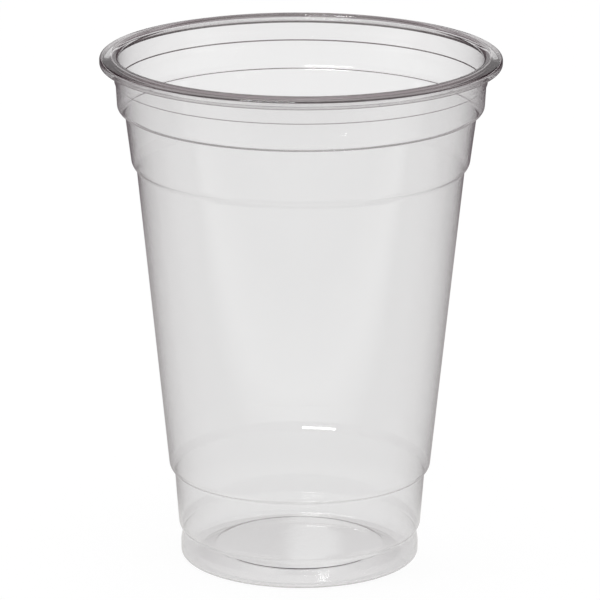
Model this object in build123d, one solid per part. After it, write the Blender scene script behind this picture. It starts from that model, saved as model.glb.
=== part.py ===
from build123d import *
import math
import os

# Clear disposable cold drink cup, drawn from one plastic sheet. Millimetres and degrees.
# The origin is the middle of the resting plane and the cup's axis is Z.

# Overall sizes
rim_diameter = 95.0
height = 123.5
foot_diameter = 57.2

# Sheet thickness: least drawn over the neck, most in the body
rim_wall = 1.04
lip_wall = 0.63
collar_wall = 0.36
body_wall = 0.3
floor_wall = 0.45

# Rolled rim: the sheet turns out over the neck, down and back under
roll_reach = 3.25  # from the neck's outside to the edge of the rim
roll_depth = 2.68  # from the rim's top to its underside
hollow_slope = 5.0  # fall of the hollow's roof towards the outside
roll_radius = 0.3  # hollow side of the bend over the neck
lip_radius = 0.1  # hollow side of the two outer bends
roll_gap = 1.5  # from the cut edge of the sheet to the neck

# Neck, collar and shoulder, counted down from the rim's top
# Radii here and below are of the outer face: creases bend in, corners bulge out
neck_depth = 6.5
neck_draft = 2.2
neck_step = 0.28  # width and height of the step in the outer face
collar_height = 6.5
collar_draft = 3.4
ledge_width = 1.68
ledge_height = 0.3
ledge_corner = 1.5
ledge_crease = 0.5
shoulder_height = 12.55
shoulder_draft = 7.3
shoulder_step_width = 1.17
shoulder_step_height = 1.4
shoulder_corner = 2.4
shoulder_crease = 1.8

# Foot, lower band and heel step, counted up from the resting plane
foot_side_height = 3.4
foot_height = 6.4
foot_undercut = 0.5
foot_corner = 1.2
foot_top_corner = 1.8
foot_crease = 1.2
foot_step_width = 1.0
foot_step_height = 1.4
band_height = 13.4
band_draft = 4.2
band_corner = 2.5
heel_step_width = 1.24
heel_step_height = 1.2
heel_corner = 2.2
heel_crease = 1.0

# Floor, pushed up inside the resting ring
resting_width = 3.9
resting_corner = 1.8
floor_inset = 4.7  # from the ring's inside to the edge of the flat floor
floor_rise = 1.8
floor_crease = 2.0


def taper(length, draft):
    return length * math.tan(math.radians(draft))


def lower_skin():
    foot = foot_diameter / 2
    ring = foot - resting_width
    waist = foot - foot_undercut
    band = waist + foot_step_width
    band_bottom = foot_height + foot_step_height
    band_top = band_bottom + band_height
    heel = band + taper(band_height, band_draft)
    return [
        ((0, floor_rise), None, floor_wall),
        ((ring - floor_inset, floor_rise), floor_crease, floor_wall),
        ((ring, 0), resting_corner, body_wall),
        ((foot, 0), foot_corner, body_wall),
        ((foot, foot_side_height), foot_top_corner, body_wall),
        ((waist, foot_height), foot_crease, body_wall),
        ((band, band_bottom), band_corner, body_wall),
        ((heel, band_top), heel_crease, body_wall),
        ((heel + heel_step_width, band_top + heel_step_height), heel_corner, body_wall),
    ]


def upper_skin():
    collar_bottom = collar_top - collar_height
    ledge = collar - taper(collar_height, collar_draft)
    shoulder_top = collar_bottom - ledge_height
    shoulder_bottom = shoulder_top - shoulder_height
    shoulder = ledge - ledge_width
    body = shoulder - taper(shoulder_height, shoulder_draft)
    return [
        ((body - shoulder_step_width, shoulder_bottom - shoulder_step_height), shoulder_crease, body_wall),
        ((body, shoulder_bottom), shoulder_corner, body_wall),
        ((shoulder, shoulder_top), ledge_crease, collar_wall),
        ((ledge, collar_bottom), ledge_corner, collar_wall),
    ]


def rolled_rim():
    edge = rim_diameter / 2 - lip_wall
    underside = height - roll_depth + lip_wall
    slope = math.radians(hollow_slope)
    # The sheet thins outwards, so its top falls more than the hollow's roof
    thinning = rim_wall - lip_wall
    top_fall = (edge - neck) * math.tan(slope) + thinning * math.cos(slope)
    top_slope = math.atan(top_fall / (edge - neck - thinning * math.sin(slope)))
    # The bend over the neck reaches the full height
    bend = roll_radius + rim_wall
    bend_offset = roll_radius - rim_wall * math.sin(slope)
    corner_height = height - bend + bend / math.cos(top_slope) + bend_offset * math.tan(top_slope)
    roll_top = corner_height - rim_wall * math.cos(slope)
    return [
        ((neck, roll_top), roll_radius, rim_wall),
        ((edge, roll_top - (edge - neck) * math.tan(slope)), lip_radius, lip_wall),
        ((edge, underside), lip_radius, lip_wall),
        ((neck + roll_gap, underside), None, lip_wall),
    ]


def bent(corners, radii):
    return FilletPolyline(*corners, radius=radii)


def crossing(one, other):
    run = one[1] - one[0]
    other_run = other[1] - other[0]
    share = (other[0] - one[0]).cross(other_run).Z / run.cross(other_run).Z
    return one[0] + run * share


def inner_face(skin):
    corners = [Vector(*corner) for corner, radius, wall in skin]
    walls = [wall for corner, radius, wall in skin]
    runs = [end - start for start, end in zip(corners, corners[1:])]
    faces = []
    for i, run in enumerate(runs):
        inward = run.normalized().rotate(Axis.Z, 90)
        faces.append((corners[i] + inward * walls[i], corners[i + 1] + inward * walls[i + 1]))
    inner_corners = [crossing(below, above) for below, above in zip(faces, faces[1:])]
    # A left turn has the inner face on its hollow side, a right turn on its full side
    turns = [below.cross(above).Z for below, above in zip(runs, runs[1:])]
    radii = [radius - math.copysign(wall, turn) for (corner, radius, wall), turn in zip(skin[1:], turns)]
    return bent([faces[0][0]] + inner_corners + [faces[-1][1]], radii)


# The outer face runs from the floor's middle up to the neck step, then on round the rim to the cut edge.
# The inner face keeps the sheet's thickness and has no neck step.
neck = rim_diameter / 2 - roll_reach
neck_bottom = height - neck_depth
neck_base = neck - taper(neck_depth, neck_draft)
collar = neck_base - neck_step
collar_top = neck_bottom - neck_step
drawn = lower_skin() + upper_skin()
rolled = rolled_rim()
outer_body = bent([corner for corner, radius, wall in drawn] + [(collar, collar_top)],
                  [radius for corner, radius, wall in drawn[1:]])
outer_rim = bent([(neck_base, neck_bottom)] + [corner for corner, radius, wall in rolled],
                 [radius for corner, radius, wall in rolled[:-1]])
inner = inner_face(drawn + rolled)
step = Line(outer_body @ 1, outer_rim @ 0)
cut_edge = Line(outer_rim @ 1, inner @ 1)
axis_edge = Line(inner @ 0, outer_body @ 0)
section = make_face([outer_body, step, outer_rim, cut_edge, inner, axis_edge])
cup = revolve(Plane.XZ * section, Axis.Z)
cup.label = "cup"

os.makedirs("parts", exist_ok=True)
export_step(cup, "parts/cup.step")
print("cup", round(cup.volume), "mm3", cup.bounding_box().size)
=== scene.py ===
import bpy
import bmesh
import math
from mathutils import Matrix, Vector
from mathutils.geometry import intersect_line_line


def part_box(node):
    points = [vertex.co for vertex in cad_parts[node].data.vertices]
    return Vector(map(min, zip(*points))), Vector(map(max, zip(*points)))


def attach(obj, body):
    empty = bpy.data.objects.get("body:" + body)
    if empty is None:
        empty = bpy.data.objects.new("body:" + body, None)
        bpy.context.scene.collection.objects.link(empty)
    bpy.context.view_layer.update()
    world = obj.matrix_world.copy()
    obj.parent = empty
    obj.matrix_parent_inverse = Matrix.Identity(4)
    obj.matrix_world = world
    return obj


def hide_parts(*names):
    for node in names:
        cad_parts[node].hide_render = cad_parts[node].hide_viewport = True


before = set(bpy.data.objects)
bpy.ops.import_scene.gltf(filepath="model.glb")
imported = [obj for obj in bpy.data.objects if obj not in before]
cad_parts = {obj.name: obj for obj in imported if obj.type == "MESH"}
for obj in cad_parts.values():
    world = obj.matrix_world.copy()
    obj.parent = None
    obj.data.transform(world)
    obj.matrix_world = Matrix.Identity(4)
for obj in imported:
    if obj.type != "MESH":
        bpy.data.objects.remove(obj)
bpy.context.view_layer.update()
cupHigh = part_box("cup")[1]  # the solid's rim radius and height are taken from here
mm = 0.001
cm3 = 0.000001
print("frame loaded, cup box", [round(v / mm, 2) for v in cupHigh])


def hexColour(code):  # sRGB to linear
    parts = [int(code[i:i + 2], 16) / 255 for i in (1, 3, 5)]
    linear = [p / 12.92 if p <= 0.04045 else ((p + 0.055) / 1.055) ** 2.4 for p in parts]
    return (*linear, 1.0)


def addNode(tree, kind, settings=None, links=None):
    node = tree.nodes.new(kind)
    for name, value in (settings or {}).items():
        if name == "stops":  # a colour ramp, each stop a position and a colour
            for position, colour in value[1:-1]:
                node.color_ramp.elements.new(position)
            for stop, (position, colour) in zip(node.color_ramp.elements, value):
                stop.position = position
                stop.color = hexColour(colour)
        elif isinstance(name, int) or name in node.inputs:
            node.inputs[name].default_value = value
        else:
            setattr(node, name, value)
    for name, socket in (links or {}).items():
        tree.links.new(socket, node.inputs[name])
    return node


def newMaterial(name):
    material = bpy.data.materials.new(name)
    material.use_nodes = True
    material.node_tree.nodes.clear()
    return material


# the cup's sheet, the same sizes as the solid, in millimetres and degrees
cup = {
    "floorWall": 0.45,
    "bodyWall": 0.30,
    "collarWall": 0.36,
    "rimWall": 1.04,
    "lipWall": 0.63,
    "rollReach": 3.25,  # from the neck's outside to the rim's edge
    "rollDepth": 2.68,  # from the rim's top to its underside
    "hollowSlope": 5.0,  # fall of the hollow's roof towards the outside
    "rollRadius": 0.3,  # hollow side of the bend over the neck
    "lipRadius": 0.1,  # hollow side of the two outer bends
    "rollGap": 1.5,  # from the cut edge to the neck
    "neckDepth": 6.5,
    "neckDraft": 2.2,
    "neckStep": 0.28,  # width and height of the step in the outer face
    "collarHeight": 6.5,
    "collarDraft": 3.4,
    "ledgeWidth": 1.68,
    "ledgeHeight": 0.3,
    "ledgeRadius": 1.5,
    "ledgeCrease": 0.5,
    "shoulderHeight": 12.55,
    "shoulderDraft": 7.3,
    "shoulderStepWidth": 1.17,
    "shoulderStepHeight": 1.4,
    "shoulderRadius": 2.4,
    "shoulderCrease": 1.8,
    "footDiameter": 57.2,
    "footSideHeight": 3.4,
    "footHeight": 6.4,
    "footUndercut": 0.5,
    "footRadius": 1.2,
    "footTopRadius": 1.8,
    "footStepWidth": 1.0,
    "footStepHeight": 1.4,
    "footCrease": 1.2,
    "bandHeight": 13.4,
    "bandDraft": 4.2,
    "bandRadius": 2.5,
    "heelStepWidth": 1.24,
    "heelStepHeight": 1.2,
    "heelRadius": 2.2,
    "heelCrease": 1.0,
    "restingWidth": 3.9,
    "restingRadius": 1.8,
    "floorInset": 4.7,  # from the resting ring's inside to the edge of the flat floor
    "floorRise": 1.8,
    "floorCrease": 2.0,
    "bendSegments": 6,
    "turns": 224,  # faces round the cup
    "mergeGap": 0.0005,
    "sharpAngle": 30.0,
}


def taper(length, draft):
    return length * math.tan(math.radians(draft))


def cupSkin(c):
    rim = round(cupHigh[0] / mm, 1)
    top = round(cupHigh[2] / mm, 1)
    foot = c["footDiameter"] / 2
    ring = foot - c["restingWidth"]
    waist = foot - c["footUndercut"]
    band = waist + c["footStepWidth"]
    bandBottom = c["footHeight"] + c["footStepHeight"]
    bandTop = bandBottom + c["bandHeight"]
    heel = band + taper(c["bandHeight"], c["bandDraft"])
    neck = rim - c["rollReach"]
    neckBottom = top - c["neckDepth"]
    neckBase = neck - taper(c["neckDepth"], c["neckDraft"])
    collar = neckBase - c["neckStep"]
    collarTop = neckBottom - c["neckStep"]
    collarBottom = collarTop - c["collarHeight"]
    ledge = collar - taper(c["collarHeight"], c["collarDraft"])
    shoulder = ledge - c["ledgeWidth"]
    shoulderTop = collarBottom - c["ledgeHeight"]
    shoulderBottom = shoulderTop - c["shoulderHeight"]
    body = shoulder - taper(c["shoulderHeight"], c["shoulderDraft"])
    bodyTop = shoulderBottom - c["shoulderStepHeight"]
    slope = math.radians(c["hollowSlope"])
    edge = rim - c["lipWall"]
    thinning = c["rimWall"] - c["lipWall"]  # the rim's top falls more than the roof of its hollow
    fall = (edge - neck) * math.tan(slope) + thinning * math.cos(slope)
    topSlope = math.atan(fall / (edge - neck - thinning * math.sin(slope)))
    overNeck = c["rollRadius"] + c["rimWall"]  # the bend that reaches the full height
    reach = c["rimWall"] * math.sin(slope) - c["rollRadius"]
    cornerTop = top - overNeck + overNeck / math.cos(topSlope) - reach * math.tan(topSlope)
    rollTop = cornerTop - c["rimWall"] * math.cos(slope)
    underside = top - c["rollDepth"] + c["lipWall"]
    # corners of the outer face: radius, height, bend and the sheet's thickness there
    drawn = [
        (0, c["floorRise"], None, c["floorWall"]),
        (ring - c["floorInset"], c["floorRise"], c["floorCrease"], c["floorWall"]),
        (ring, 0, c["restingRadius"], c["bodyWall"]),
        (foot, 0, c["footRadius"], c["bodyWall"]),
        (foot, c["footSideHeight"], c["footTopRadius"], c["bodyWall"]),
        (waist, c["footHeight"], c["footCrease"], c["bodyWall"]),
        (band, bandBottom, c["bandRadius"], c["bodyWall"]),
        (heel, bandTop, c["heelCrease"], c["bodyWall"]),
        (heel + c["heelStepWidth"], bandTop + c["heelStepHeight"], c["heelRadius"], c["bodyWall"]),
        (body - c["shoulderStepWidth"], bodyTop, c["shoulderCrease"], c["bodyWall"]),
        (body, shoulderBottom, c["shoulderRadius"], c["bodyWall"]),
        (shoulder, shoulderTop, c["ledgeCrease"], c["collarWall"]),
        (ledge, collarBottom, c["ledgeRadius"], c["collarWall"]),
    ]
    neckStep = [(collar, collarTop, None, None), (neckBase, neckBottom, None, None)]  # outer face alone
    rolled = [
        (neck, rollTop, c["rollRadius"], c["rimWall"]),
        (edge, rollTop - (edge - neck) * math.tan(slope), c["lipRadius"], c["lipWall"]),
        (edge, underside, c["lipRadius"], c["lipWall"]),
        (neck + c["rollGap"], underside, None, c["lipWall"]),
    ]
    outer = [(Vector((r, 0, z)), bend) for r, z, bend, wall in drawn + neckStep + rolled]
    return outer, innerSkin(drawn + rolled)


def innerSkin(skin):
    corners = [Vector((r, 0, z)) for r, z, bend, wall in skin]
    bends = [bend for r, z, bend, wall in skin]
    walls = [wall for r, z, bend, wall in skin]
    runs = [(b - a).normalized() for a, b in zip(corners[:-1], corners[1:])]
    faces = []
    for i, run in enumerate(runs):  # each run of the sheet, moved in by its thickness at both ends
        inward = Vector((-run.z, 0, run.x))
        faces.append((corners[i] + inward * walls[i], corners[i + 1] + inward * walls[i + 1]))
    inner = [(faces[0][0], None)]
    for i in range(1, len(runs)):
        corner = intersect_line_line(*faces[i - 1], *faces[i])[0]
        hollow = runs[i - 1].cross(runs[i]).y > 0  # here the outer face has the smaller radius
        inner.append((corner, bends[i] + walls[i] * (1 if hollow else -1)))
    return inner + [(faces[-1][1], None)]


def bendWire(bm, skin, segments):
    corners = [bm.verts.new(place * mm) for place, bend in skin]
    bends = [bend for place, bend in skin]
    for a, b in zip(corners[:-1], corners[1:]):
        bm.edges.new((a, b))
    for corner, bend in zip(corners, bends):  # each bend of the sheet gets its own radius
        if bend:
            sides = [e.other_vert(corner).co - corner.co for e in corner.link_edges]
            reach = bend * mm / math.tan(sides[0].angle(sides[1]) / 2)
            bmesh.ops.bevel(bm, geom=[corner], offset=reach, offset_type="OFFSET", segments=segments,
                            profile=0.5, affect="VERTICES", material=-1)
    return corners[-1]


def buildCup(c):
    bm = bmesh.new()
    cutEdge = [bendWire(bm, skin, c["bendSegments"]) for skin in cupSkin(c)]
    bm.edges.new(cutEdge)
    bmesh.ops.spin(bm, geom=bm.verts[:] + bm.edges[:], cent=(0, 0, 0), axis=(0, 0, 1),
                   angle=math.tau, steps=c["turns"], use_merge=True)
    bmesh.ops.remove_doubles(bm, verts=bm.verts[:], dist=c["mergeGap"] * mm)
    bmesh.ops.recalc_face_normals(bm, faces=bm.faces[:])
    for face in bm.faces:
        face.smooth = True
    for edge in bm.edges:
        edge.smooth = edge.calc_face_angle(0) < math.radians(c["sharpAngle"])
    print("sheet volume", round(bm.calc_volume(signed=True) / cm3, 3), "cm3")
    mesh = bpy.data.meshes.new("cup_sheet")
    bm.to_mesh(mesh)
    bm.free()
    piece = bpy.data.objects.new("cup_sheet", mesh)
    bpy.context.scene.collection.objects.link(piece)
    flats = piece.modifiers.new("flat bands keep their own normals", "WEIGHTED_NORMAL")
    flats.mode = "FACE_AREA"
    flats.keep_sharp = True
    return piece


# clear PET, thermoformed: bright and colourless, a hard gloss, and a slow ripple where the sheet was drawn;
# an absorption that is partly painted shade darkens the thick rim
sheet = {
    "colour": "#f7f7f7",
    "tintAndShadeColour": "#a08f92",  # partly the sheet's own absorption, partly painted shade: long ways through the rim look darker and faintly mauve, standing in for the dark room that the rim shows
    "tintAndShadeDensity": 75.0,
    "shadowTint": "#f2f3f3",
    "ior": 1.575,
    "roughness": 0.02,
    "rippleSize": 9.0,  # in millimetres, as rippleHeight is
    "rippleStretch": (1, 1, 0.35),  # longer up the cup, the way that the sheet was drawn
    "rippleDetail": 1.0,
    "rippleHeight": 0.004,
    "rippleStrength": 0.25,
}


def clearSheet(s):
    material = newMaterial("clear_PET_thermoformed")
    tree = material.node_tree
    place = addNode(tree, "ShaderNodeTexCoord")
    stretch = addNode(tree, "ShaderNodeMapping", {"Scale": s["rippleStretch"]},
                      {"Vector": place.outputs["Object"]})
    ripple = addNode(tree, "ShaderNodeTexNoise",
                     {"Scale": 1 / (s["rippleSize"] * mm), "Detail": s["rippleDetail"]},
                     {"Vector": stretch.outputs["Vector"]})
    bump = addNode(tree, "ShaderNodeBump",
                   {"Strength": s["rippleStrength"], "Distance": s["rippleHeight"] * mm},
                   {"Height": ripple.outputs["Fac"]})
    clear = addNode(tree, "ShaderNodeBsdfPrincipled",
                    {"Base Color": hexColour(s["colour"]), "Roughness": s["roughness"], "IOR": s["ior"],
                     "Transmission Weight": 1.0}, {"Normal": bump.outputs["Normal"]})
    through = addNode(tree, "ShaderNodeBsdfTransparent", {"Color": hexColour(s["shadowTint"])})
    path = addNode(tree, "ShaderNodeLightPath")
    mix = addNode(tree, "ShaderNodeMixShader", None,  # lamps shine through the sheet
                  {0: path.outputs["Is Shadow Ray"], 1: clear.outputs[0], 2: through.outputs[0]})
    # partly painted shade: an absorption that darkens the long ways through the rim and tints them mauve
    depth = addNode(tree, "ShaderNodeVolumeAbsorption",
                    {"Color": hexColour(s["tintAndShadeColour"]), "Density": s["tintAndShadeDensity"]})
    addNode(tree, "ShaderNodeOutputMaterial", None, {"Surface": mix.outputs[0], "Volume": depth.outputs[0]})
    return material


cupPiece = buildCup(cup)
cupPiece.data.materials.append(clearSheet(sheet))
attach(cupPiece, "root")
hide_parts("cup")
print("cup built", len(cupPiece.data.vertices), "vertices", len(cupPiece.data.polygons), "faces")

unmirrored = 0.5  # a light path's glossy depth stays under this until the sheet mirrors it

# white table under the cup, in metres, which the sheet's gloss sees in soft greys
table = {
    "halfWidth": 4.0,
    "drop": 0.0002,  # below the resting plane
    "colour": "#f7f7f7",
    "seen": "#ffffff",
    "mirrored": [(-1.2, "#3c3c3c"), (-0.80, "#606060"), (-0.60, "#a0a0a0"), (-0.45, "#cbcbca"),
                 (-0.28, "#fbfbfa"), (-0.16, "#dad9d8"), (-0.08, "#969493"), (0.02, "#aeabab"),
                 (0.25, "#9a9596"), (0.34, "#5f5459"), (0.60, "#463a40")],  # from the front to the back
    "under": "#dcdbda",  # mirrored near the cup instead
    "underReach": (0.036, 0.064),
    "shadowShare": 0.08,
}


def whiteSurface(t):
    material = newMaterial("white_table")
    tree = material.node_tree
    place = addNode(tree, "ShaderNodeTexCoord")
    split = addNode(tree, "ShaderNodeSeparateXYZ", None, {"Vector": place.outputs["Object"]})
    front = t["mirrored"][0][0]
    back = t["mirrored"][-1][0]
    depth = addNode(tree, "ShaderNodeMapRange", {"From Min": front, "From Max": back},
                    {"Value": split.outputs["Y"]})
    stops = [((y - front) / (back - front), colour) for y, colour in t["mirrored"]]
    graded = addNode(tree, "ShaderNodeValToRGB", {"stops": stops}, {"Fac": depth.outputs[0]})
    reach = addNode(tree, "ShaderNodeVectorMath", {"operation": "LENGTH"}, {0: place.outputs["Object"]})
    near, far = t["underReach"]
    away = addNode(tree, "ShaderNodeMapRange",
                   {"interpolation_type": "SMOOTHSTEP", "From Min": near, "From Max": far},
                   {"Value": reach.outputs["Value"]})
    mirrored = addNode(tree, "ShaderNodeMixRGB", {"Color1": hexColour(t["under"])},
                       {"Fac": away.outputs[0], "Color2": graded.outputs[0]})
    path = addNode(tree, "ShaderNodeLightPath")
    straight = addNode(tree, "ShaderNodeMath", {"operation": "LESS_THAN", 1: unmirrored},
                       {0: path.outputs["Glossy Depth"]})
    shown = addNode(tree, "ShaderNodeMixRGB", {"Color2": hexColour(t["seen"])},
                    {"Fac": straight.outputs[0], "Color1": mirrored.outputs[0]})
    direct = addNode(tree, "ShaderNodeMath", {"operation": "MAXIMUM"},
                     {0: path.outputs["Is Camera Ray"], 1: path.outputs["Is Transmission Ray"]})
    seen = addNode(tree, "ShaderNodeMath", {"operation": "MAXIMUM"},
                   {0: direct.outputs[0], 1: path.outputs["Is Glossy Ray"]})
    share = addNode(tree, "ShaderNodeMath", {"operation": "MULTIPLY", 1: 1 - t["shadowShare"]},
                    {0: seen.outputs[0]})
    matt = addNode(tree, "ShaderNodeBsdfDiffuse", {"Color": hexColour(t["colour"])})
    white = addNode(tree, "ShaderNodeEmission", None, {"Color": shown.outputs[0]})
    mix = addNode(tree, "ShaderNodeMixShader", None,  # the matt share keeps the cup's shadow
                  {0: share.outputs[0], 1: matt.outputs[0], 2: white.outputs[0]})
    addNode(tree, "ShaderNodeOutputMaterial", None, {"Surface": mix.outputs[0]})
    return material


def buildTable(t):
    bm = bmesh.new()
    bmesh.ops.create_grid(bm, x_segments=1, y_segments=1, size=t["halfWidth"])
    bmesh.ops.translate(bm, verts=bm.verts[:], vec=(0, 0, -t["drop"]))
    mesh = bpy.data.meshes.new("floor")
    bm.to_mesh(mesh)
    bm.free()
    floor = bpy.data.objects.new("floor", mesh)
    bpy.context.scene.collection.objects.link(floor)
    floor.data.materials.append(whiteSurface(t))
    return floor


floor = buildTable(table)
print("table built")

# studio: a pale backdrop behind with a narrow bright strip, dark to both sides, grey in front
room = {
    "seen": "#ffffff",
    "backdropMirrored": [(0.0, "#c2bfc0"), (0.36, "#c2bfc0"), (0.48, "#a2989c"), (0.85, "#a2989c"),
                         (1.0, "#ffffff")],  # these run from level to straight up
    "stripMirrored": [(0.0, "#ffffff"), (0.36, "#ffffff"), (0.46, "#a2989c"), (0.85, "#a2989c"),
                      (1.0, "#ffffff")],
    "backdropThrough": [(0.0, "#ffffff"), (0.12, "#f0efef"), (0.30, "#aba7a8"), (0.50, "#7c7074"),
                        (1.0, "#b8b8b8")],
    "sides": [(0.0, "#45323a"), (0.45, "#5a474f"), (0.75, "#8f8388"), (1.0, "#ffffff")],
    "front": "#8f8a8b",
    "backdropHalf": (0.16, 0.40),  # half its width, as sines: where it starts to fade and where it is gone
    "stripHalf": (0.004, 0.010),
    "stripPlace": 0.004,  # a little to the right
}


def buildRoom(r):
    world = bpy.data.worlds.new("studio")
    bpy.context.scene.world = world
    world.use_nodes = True
    tree = world.node_tree
    tree.nodes.clear()
    place = addNode(tree, "ShaderNodeTexCoord")
    split = addNode(tree, "ShaderNodeSeparateXYZ", None, {"Vector": place.outputs["Generated"]})
    aside = addNode(tree, "ShaderNodeMath", {"operation": "ABSOLUTE"}, {0: split.outputs["X"]})
    fade, gone = r["backdropHalf"]
    side = addNode(tree, "ShaderNodeMapRange",
                   {"interpolation_type": "SMOOTHSTEP", "From Min": fade, "From Max": gone},
                   {"Value": aside.outputs[0]})
    shift = addNode(tree, "ShaderNodeMath", {"operation": "SUBTRACT", 1: r["stripPlace"]},
                    {0: split.outputs["X"]})
    apart = addNode(tree, "ShaderNodeMath", {"operation": "ABSOLUTE"}, {0: shift.outputs[0]})
    fade, gone = r["stripHalf"]
    off = addNode(tree, "ShaderNodeMapRange",
                  {"interpolation_type": "SMOOTHSTEP", "From Min": fade, "From Max": gone},
                  {"Value": apart.outputs[0]})
    wide = addNode(tree, "ShaderNodeValToRGB", {"stops": r["backdropMirrored"]},
                   {"Fac": split.outputs["Z"]})
    strip = addNode(tree, "ShaderNodeValToRGB", {"stops": r["stripMirrored"]}, {"Fac": split.outputs["Z"]})
    mirrored = addNode(tree, "ShaderNodeMixRGB", None,
                       {"Fac": off.outputs[0], "Color1": strip.outputs[0], "Color2": wide.outputs[0]})
    through = addNode(tree, "ShaderNodeValToRGB", {"stops": r["backdropThrough"]},
                      {"Fac": split.outputs["Z"]})
    path = addNode(tree, "ShaderNodeLightPath")
    straight = addNode(tree, "ShaderNodeMath", {"operation": "LESS_THAN", 1: unmirrored},
                       {0: path.outputs["Glossy Depth"]})
    backdrop = addNode(tree, "ShaderNodeMixRGB", None,
                       {"Fac": straight.outputs[0], "Color1": mirrored.outputs[0],
                        "Color2": through.outputs[0]})
    dark = addNode(tree, "ShaderNodeValToRGB", {"stops": r["sides"]}, {"Fac": split.outputs["Z"]})
    beside = addNode(tree, "ShaderNodeMixRGB", None,
                     {"Fac": side.outputs[0], "Color1": backdrop.outputs[0], "Color2": dark.outputs[0]})
    ahead = addNode(tree, "ShaderNodeMath", {"operation": "LESS_THAN", 1: 0.0}, {0: split.outputs["Y"]})
    around = addNode(tree, "ShaderNodeMixRGB", {"Color2": hexColour(r["front"])},
                     {"Fac": ahead.outputs[0], "Color1": beside.outputs[0]})
    plain = addNode(tree, "ShaderNodeMath", {"operation": "MAXIMUM"},
                    {0: path.outputs["Is Camera Ray"], 1: path.outputs["Is Diffuse Ray"]})
    shown = addNode(tree, "ShaderNodeMixRGB", {"Color2": hexColour(r["seen"])},
                    {"Fac": plain.outputs[0], "Color1": around.outputs[0]})
    sky = addNode(tree, "ShaderNodeBackground", None, {"Color": shown.outputs[0]})
    addNode(tree, "ShaderNodeOutputWorld", None, {"Surface": sky.outputs[0]})


# one soft box above and a little in front, which makes the streak on the heel step
softBox = {
    "place": (-0.24, -0.290, 1.224),
    "aim": (-0.24, 0.0, 0.06),
    "width": 0.42,
    "height": 0.14,
    "power": 4.2,
}


def buildSoftBox(s):
    data = bpy.data.lights.new("soft_box", "AREA")
    data.shape = "RECTANGLE"
    data.size = s["width"]
    data.size_y = s["height"]
    data.energy = s["power"]
    lamp = bpy.data.objects.new("soft_box", data)
    bpy.context.scene.collection.objects.link(lamp)
    lamp.location = s["place"]
    towards = Vector(s["aim"]) - Vector(s["place"])
    lamp.rotation_euler = towards.to_track_quat("-Z", "Y").to_euler()


buildRoom(room)
buildSoftBox(softBox)
print("studio lit")

# light goes back and forth inside the clear rim, so it gets more bounces than Blender's own
lightPaths = {
    "glossy_bounces": 64,
    "transmission_bounces": 64,
    "max_bounces": 64,
}
for name, bounces in lightPaths.items():
    setattr(bpy.context.scene.cycles, name, bounces)

# the photograph's view, in metres, degrees and millimetres of lens
view = {
    "place": (0.0, -1.100, 0.3729),
    "down": 15.73,
    "roll": 0.19,
    "lens": 287.2,
    "sensor": 36.0,
    "shiftX": -0.0005,
}


def buildCamera(v):
    data = bpy.data.cameras.new("camera")
    data.lens = v["lens"]
    data.sensor_width = v["sensor"]
    data.shift_x = v["shiftX"]
    camera = bpy.data.objects.new("camera", data)
    bpy.context.scene.collection.objects.link(camera)
    camera.location = v["place"]
    pitch = Matrix.Rotation(math.radians(90 - v["down"]), 3, "X")
    roll = Matrix.Rotation(math.radians(v["roll"]), 3, "Z")
    camera.rotation_euler = (pitch @ roll).to_euler()
    bpy.context.scene.camera = camera


buildCamera(view)
bpy.context.scene.view_settings.view_transform = "Standard"
print("camera set")
